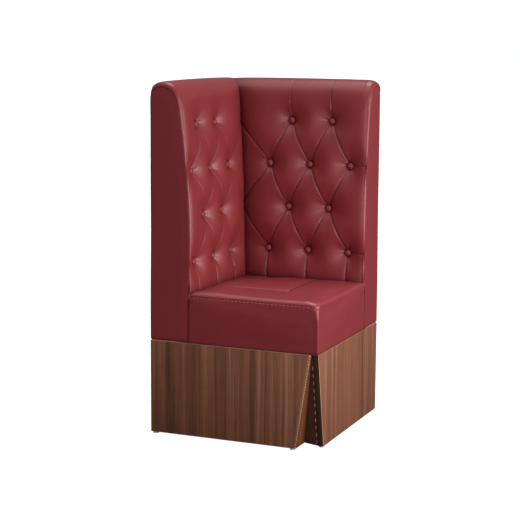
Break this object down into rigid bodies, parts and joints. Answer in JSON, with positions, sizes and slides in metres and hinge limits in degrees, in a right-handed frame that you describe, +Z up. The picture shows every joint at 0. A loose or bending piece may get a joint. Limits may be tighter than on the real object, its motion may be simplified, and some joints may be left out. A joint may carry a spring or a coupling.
{
  "type": "restaurant booth seating",
  "caption": "High-backed corner booth seat with deep-buttoned leather wings on two sides, a box seat and a walnut plinth with a leaning corner notch.",
  "frame": {"origin": "middle of the plan, on the floor", "axes": "+Z up, -Y to the open front, +X to the open right side"},
  "size_m": [0.56, 0.56, 1.105],
  "materials": {
    "leather": "burgundy leather, fine grain, soft sheen",
    "walnut": "walnut veneer, satin lacquer, upright grain",
    "plywood": "bare birch plywood",
    "softwood": "sawn pine",
    "foam": "open cell foam",
    "twine": "waxed tufting twine",
    "steel": "zinc plated steel",
    "glide": "grey plastic glide on a threaded stem"
  },
  "bodies": {
    "booth": {"corner_post": "softwood", "foot_inserts": "steel", "left_wing_button_ties": "twine", "left_wing_buttons": "leather", "left_wing_end_board": "plywood", "left_wing_end_cover": "leather", "left_wing_foam": "foam", "left_wing_frame": "softwood", "left_wing_outer_cover": "leather", "left_wing_outer_panel": "plywood", "left_wing_pad_cover": "leather", "left_wing_tie_washers": "steel", "left_wing_tuft_board": "plywood", "notch_left_return": "walnut", "notch_rear_return": "walnut", "notch_staples": "steel", "plinth_cleats": "softwood", "plinth_corner_blocks": "softwood", "plinth_front_board": "walnut", "plinth_left_board": "walnut", "plinth_rear_board": "walnut", "plinth_right_board": "walnut", "rear_wing_button_ties": "twine", "rear_wing_buttons": "leather", "rear_wing_end_board": "plywood", "rear_wing_end_cover": "leather", "rear_wing_foam": "foam", "rear_wing_frame": "softwood", "rear_wing_outer_cover": "leather", "rear_wing_outer_panel": "plywood", "rear_wing_pad_cover": "leather", "rear_wing_tie_washers": "steel", "rear_wing_tuft_board": "plywood", "seat_box_rails": "plywood", "seat_bracket_screws": "steel", "seat_brackets": "steel", "seat_cover": "leather", "seat_deck": "plywood", "seat_foam": "foam", "wing_bolt_nuts": "steel", "wing_bolt_washers": "steel", "wing_bolts": "steel"},
    "foot_front_left": {"levelling_foot_front_left": "glide"},
    "foot_front_notch": {"levelling_foot_front_notch": "glide"},
    "foot_rear_left": {"levelling_foot_rear_left": "glide"},
    "foot_rear_right": {"levelling_foot_rear_right": "glide"},
    "foot_right_notch": {"levelling_foot_right_notch": "glide"}
  },
  "joints": [
    {"name": "foot_front_left_level", "type": "slide", "parent": "booth", "child": "foot_front_left", "axis": [0, 0, 1], "range_m": [-0.012, 0]},
    {"name": "foot_front_notch_level", "type": "slide", "parent": "booth", "child": "foot_front_notch", "axis": [0, 0, 1], "range_m": [-0.012, 0]},
    {"name": "foot_rear_left_level", "type": "slide", "parent": "booth", "child": "foot_rear_left", "axis": [0, 0, 1], "range_m": [-0.012, 0]},
    {"name": "foot_rear_right_level", "type": "slide", "parent": "booth", "child": "foot_rear_right", "axis": [0, 0, 1], "range_m": [-0.012, 0]},
    {"name": "foot_right_notch_level", "type": "slide", "parent": "booth", "child": "foot_right_notch", "axis": [0, 0, 1], "range_m": [-0.012, 0]}
  ]
}
